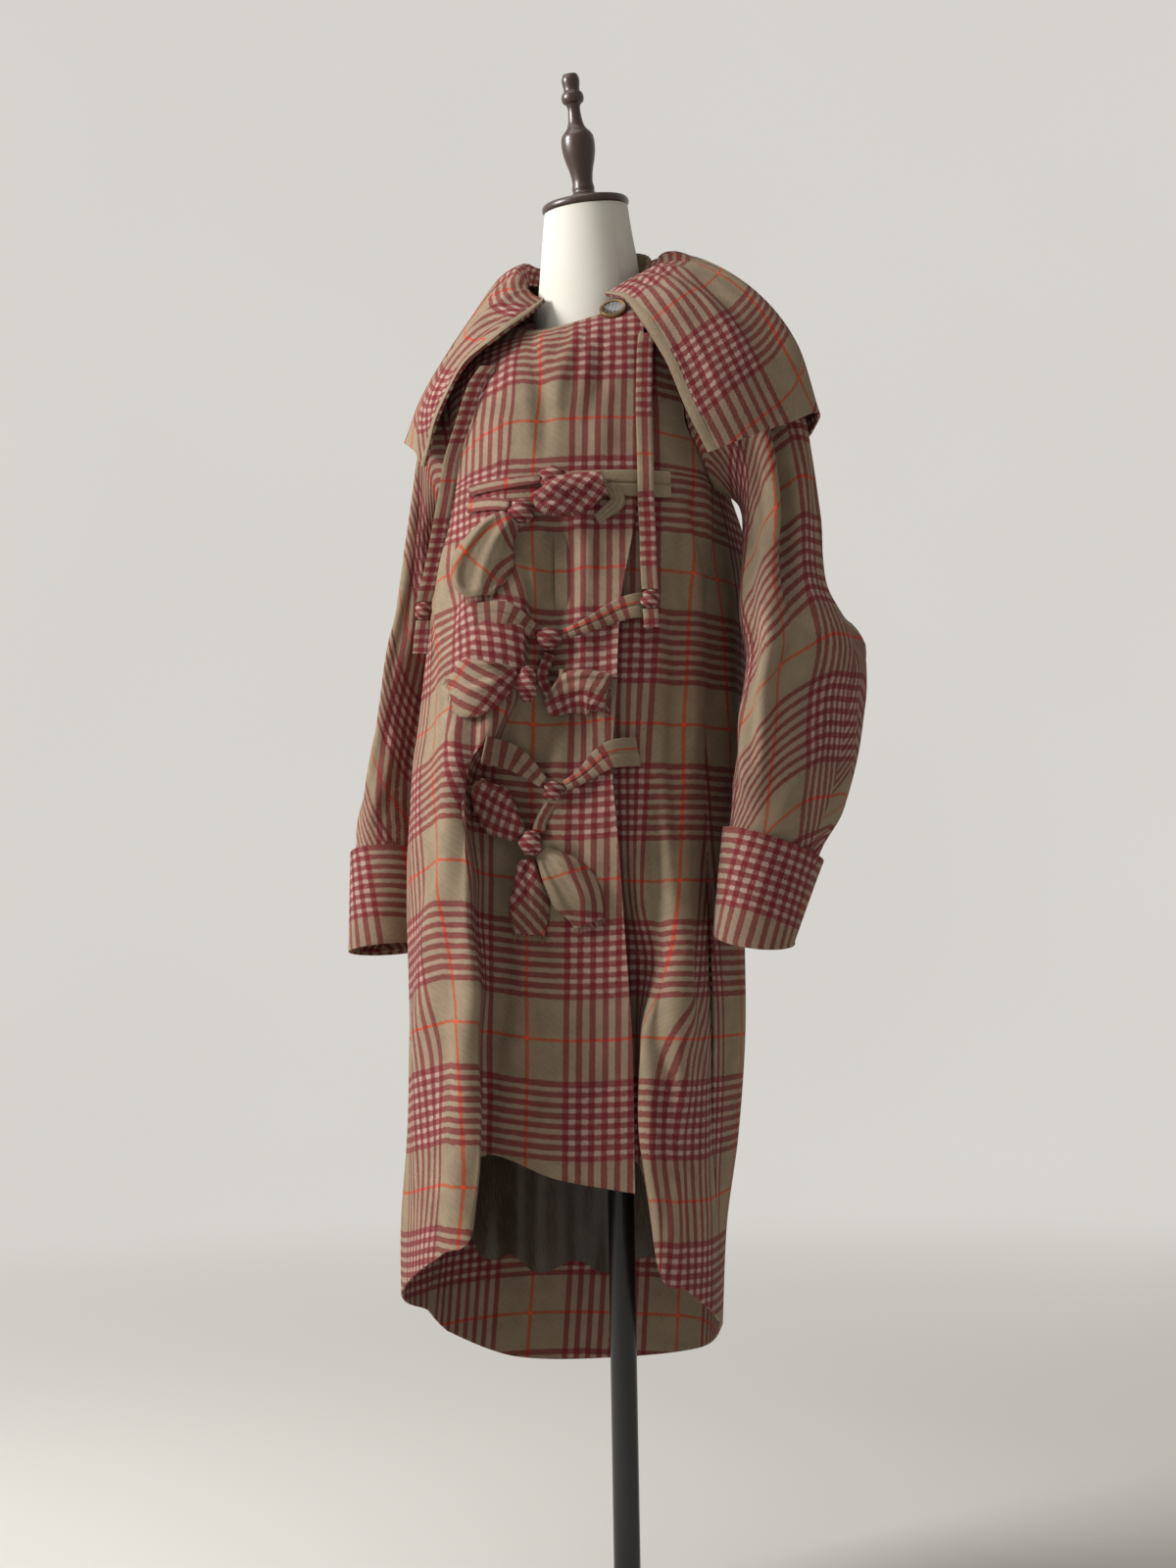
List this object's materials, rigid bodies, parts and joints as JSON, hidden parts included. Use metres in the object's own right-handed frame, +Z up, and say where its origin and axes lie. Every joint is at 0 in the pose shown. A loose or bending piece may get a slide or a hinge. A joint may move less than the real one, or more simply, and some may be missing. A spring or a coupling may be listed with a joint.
{
  "type": "cocoon coat on a limbless dress form",
  "caption": "Long cocoon-shaped check wool coat with an open cape-like hood, turned-back cuffs and tie closures, worn by a limbless dress form on a pole and round base.",
  "frame": {"origin": "on the pole's axis, at the underside of the round base", "axes": "+Z up; the coat's wearer faces -Y and the wearer's left is +X"},
  "size_m": [0.5657, 0.4239, 1.712],
  "materials": {
    "plaid_wool": "napped check wool",
    "plain_wool": "napped wool with a few stripes",
    "tie_wool": "napped check wool, raw edges",
    "drawstring_wool": "napped wool strap",
    "satin": "satin",
    "button": "horn-like, metal rim",
    "linen": "plain linen",
    "turned_wood": "satin varnish",
    "black_metal": "gloss"
  },
  "bodies": {
    "root": {"coat_front_right": "plaid_wool", "coat_front_left": "plaid_wool", "coat_back": "plaid_wool", "sleeve_left": "plaid_wool", "cuff_left": "plaid_wool", "sleeve_right": "plaid_wool", "cuff_right": "plaid_wool", "hood_flap_left": "plaid_wool", "hood_back": "plaid_wool", "hood_flap_right": "plaid_wool", "neckband": "plain_wool", "hood_casing": "plain_wool", "tie1_tab_right_upper": "tie_wool", "tie1_tab_right_lower": "tie_wool", "tie1_tab_left": "tie_wool", "tie1_leaf_lower": "tie_wool", "tie1_leaf_upper": "tie_wool", "tie1_curl": "tie_wool", "tie1_knot": "tie_wool", "tie1_knot_lower": "tie_wool", "tie2_tab_right": "tie_wool", "tie2_tab_left": "tie_wool", "tie2_loop": "tie_wool", "tie2_leaf_left": "tie_wool", "tie2_leaf_right": "tie_wool", "tie2_knot": "tie_wool", "tie2_knot_lower": "tie_wool", "tie3_tab_right": "tie_wool", "tie3_tab_left": "tie_wool", "tie3_loop": "tie_wool", "tie3_leaf_upper": "tie_wool", "tie3_leaf_lower": "tie_wool", "tie3_leaf_right": "tie_wool", "tie3_knot": "tie_wool", "tie3_knot_lower": "tie_wool", "drawstring_left": "drawstring_wool", "drawstring_left_knot": "drawstring_wool", "drawstring_left_tail": "drawstring_wool", "drawstring_right": "drawstring_wool", "drawstring_right_knot": "drawstring_wool", "drawstring_right_tail": "drawstring_wool", "lining_back": "satin", "button": "button", "form_torso": "linen", "form_neck_cap": "turned_wood", "form_pole": "black_metal", "form_base": "black_metal"}
  },
  "joints": []
}
